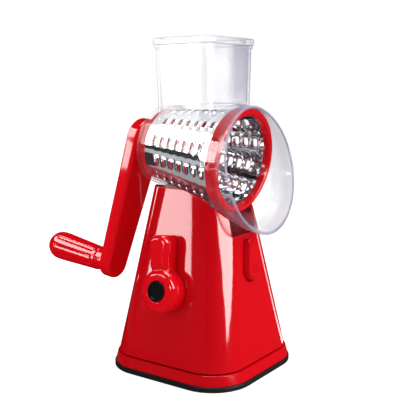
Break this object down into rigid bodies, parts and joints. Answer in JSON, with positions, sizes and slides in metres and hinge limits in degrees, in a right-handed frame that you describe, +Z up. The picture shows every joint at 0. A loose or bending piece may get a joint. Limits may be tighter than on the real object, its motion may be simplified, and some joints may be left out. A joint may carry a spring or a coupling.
{
  "type": "rotary drum shredder",
  "caption": "Hand-cranked rotary vegetable shredder: red tapered suction base, clear housing with feed chute and splash guard, steel grating drum.",
  "frame": {"origin": "middle of the footprint, on the table", "axes": "+Z up, -Y towards the drum's mouth, +Y towards the crank, -X towards the suction knob"},
  "size_m": [0.1316, 0.2236, 0.28],
  "materials": {
    "red_abs": "high gloss",
    "clear_plastic": "polished clear",
    "black_rubber": "satin",
    "black_plastic": "satin",
    "nylon": "matt",
    "stainless": "polished",
    "steel": "ground"
  },
  "bodies": {
    "base": {"base_shell": "red_abs", "base_skirt": "red_abs", "rim_seal": "black_rubber", "suction_cup": "black_rubber", "cam_bush": "nylon", "latch_pin": "steel", "skirt_screw_a": "steel", "skirt_screw_b": "steel", "skirt_screw_c": "steel", "skirt_screw_d": "steel"},
    "stem": {"pull_stem": "nylon", "cam_yoke": "nylon", "yoke_pin": "steel"},
    "knob": {"suction_knob": "red_abs", "knob_cap": "black_plastic", "knob_screw": "steel", "cam_shaft": "nylon"},
    "button": {"release_button": "red_abs", "latch_spring": "steel"},
    "housing": {"drum_housing": "clear_plastic", "rear_bush": "nylon"},
    "pusher": {"food_pusher": "clear_plastic"},
    "crank": {"crank_arm": "red_abs", "crank_shaft": "nylon", "grip_pin": "steel"},
    "grip": {"crank_grip": "red_abs"},
    "drum": {"drum_sleeve": "stainless", "drum_front_ring": "red_abs", "drum_rear_hub": "red_abs"}
  },
  "joints": [
    {"name": "knob_turn", "type": "hinge", "parent": "base", "child": "knob", "pos_m": [-0.04761, 0, 0.07408], "axis": [0.981, 0, -0.1942], "range_deg": [0, 180]},
    {"name": "stem_lift", "type": "slide", "parent": "base", "child": "stem", "axis": [0, 0, 1], "range_m": [0, 0.005], "deforming": ["suction_cup"]},
    {"name": "button_press", "type": "hinge", "parent": "base", "child": "button", "pos_m": [0, -0.04299, 0.10067], "axis": [1, 0, 0], "range_deg": [0, 5], "stiffness_Nm_per_rad": 0.02, "springref_deg": -20.05},
    {"name": "housing_lift", "type": "slide", "parent": "base", "child": "housing", "axis": [0, 0, 1], "range_m": [0, 0.06]},
    {"name": "pusher_slide", "type": "slide", "parent": "housing", "child": "pusher", "axis": [0, 0, 1], "range_m": [0, 0.06]},
    {"name": "crank_spin", "type": "hinge", "parent": "housing", "child": "crank", "pos_m": [0, 0, 0.1856], "axis": [0, 0.9917, 0.1288], "continuous": true},
    {"name": "grip_spin", "type": "hinge", "parent": "crank", "child": "grip", "pos_m": [-0.03035, 0.11336, 0.0892], "axis": [0, 0.9917, 0.1288], "continuous": true},
    {"name": "drum_slide", "type": "slide", "parent": "crank", "child": "drum", "axis": [0, -0.9917, -0.1288], "range_m": [0, 0.11]}
  ],
  "couplings": [
    {"joint": "knob_turn", "follows": "stem_lift", "rad_per_m": 628.32}
  ]
}
